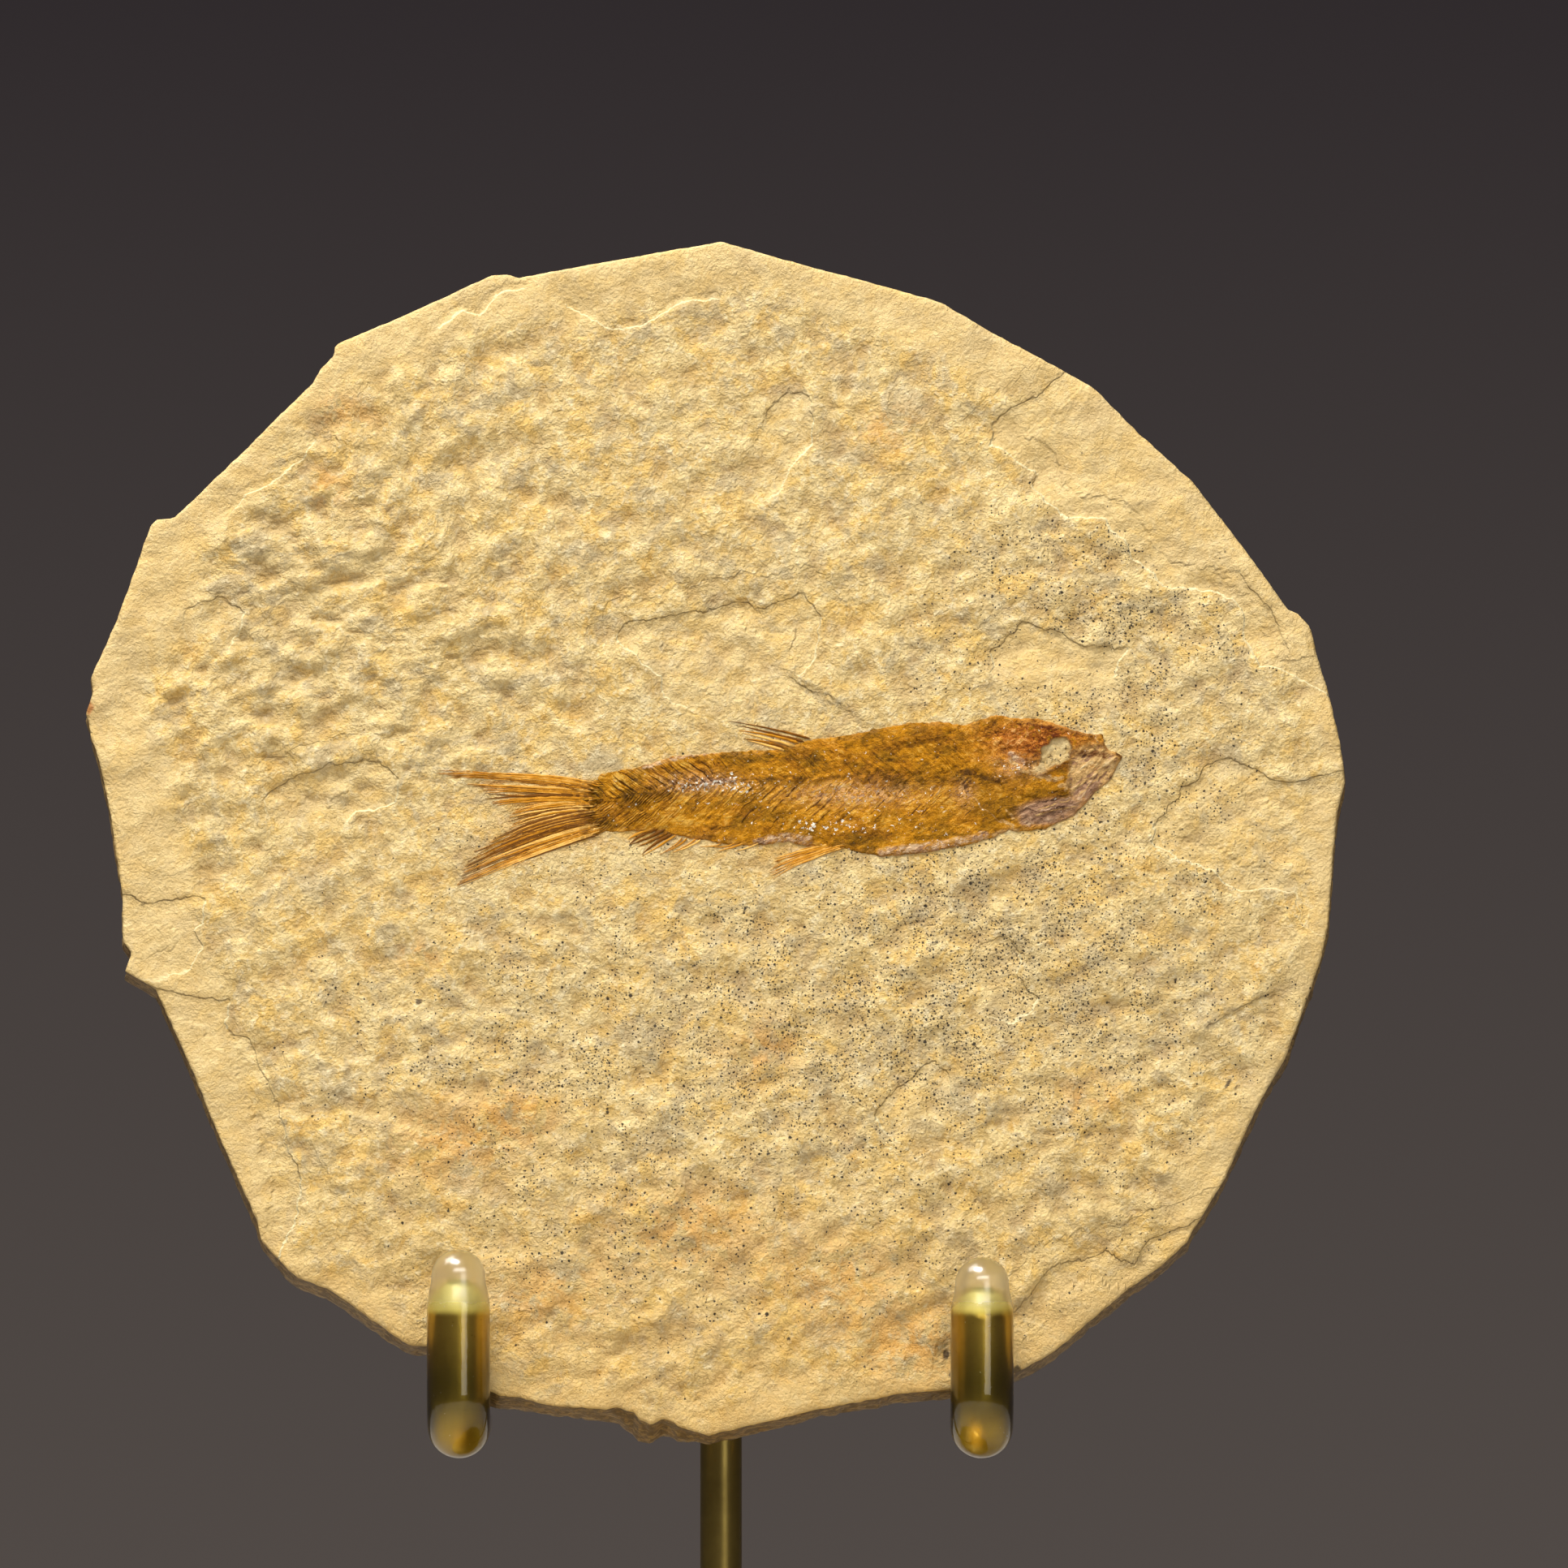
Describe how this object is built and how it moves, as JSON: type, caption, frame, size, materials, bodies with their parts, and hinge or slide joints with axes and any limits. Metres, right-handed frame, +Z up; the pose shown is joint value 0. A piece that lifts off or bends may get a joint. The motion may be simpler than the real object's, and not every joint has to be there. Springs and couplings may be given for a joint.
{
  "type": "fossil fish slab on a display stand",
  "caption": "Thin hand-nipped limestone plate with a fossil fish in low relief on its face, leaning upright in a bent brass cradle with clear tip sleeves, on a post and round foot.",
  "frame": {"origin": "centre of the foot's flat underside, on the post's axis", "axes": "+Z up along the post, -Y out of the slab's face towards the viewer, +X towards the fish's head"},
  "size_m": [0.151, 0.09, 0.2035],
  "materials": {
    "limestone": "matt, rough, cream with ochre and grey patches",
    "fossil_bone": "satin brown bone and scale",
    "polished_brass": "polished",
    "clear_plastic": "clear soft plastic, glossy"
  },
  "bodies": {
    "root": {"limestone_slab": "limestone", "fossil_fish": "fossil_bone", "cradle_rod": "polished_brass", "post": "polished_brass", "base": "polished_brass", "left_prong_sleeve": "clear_plastic", "right_prong_sleeve": "clear_plastic", "back_rest_cap": "clear_plastic"}
  },
  "joints": []
}
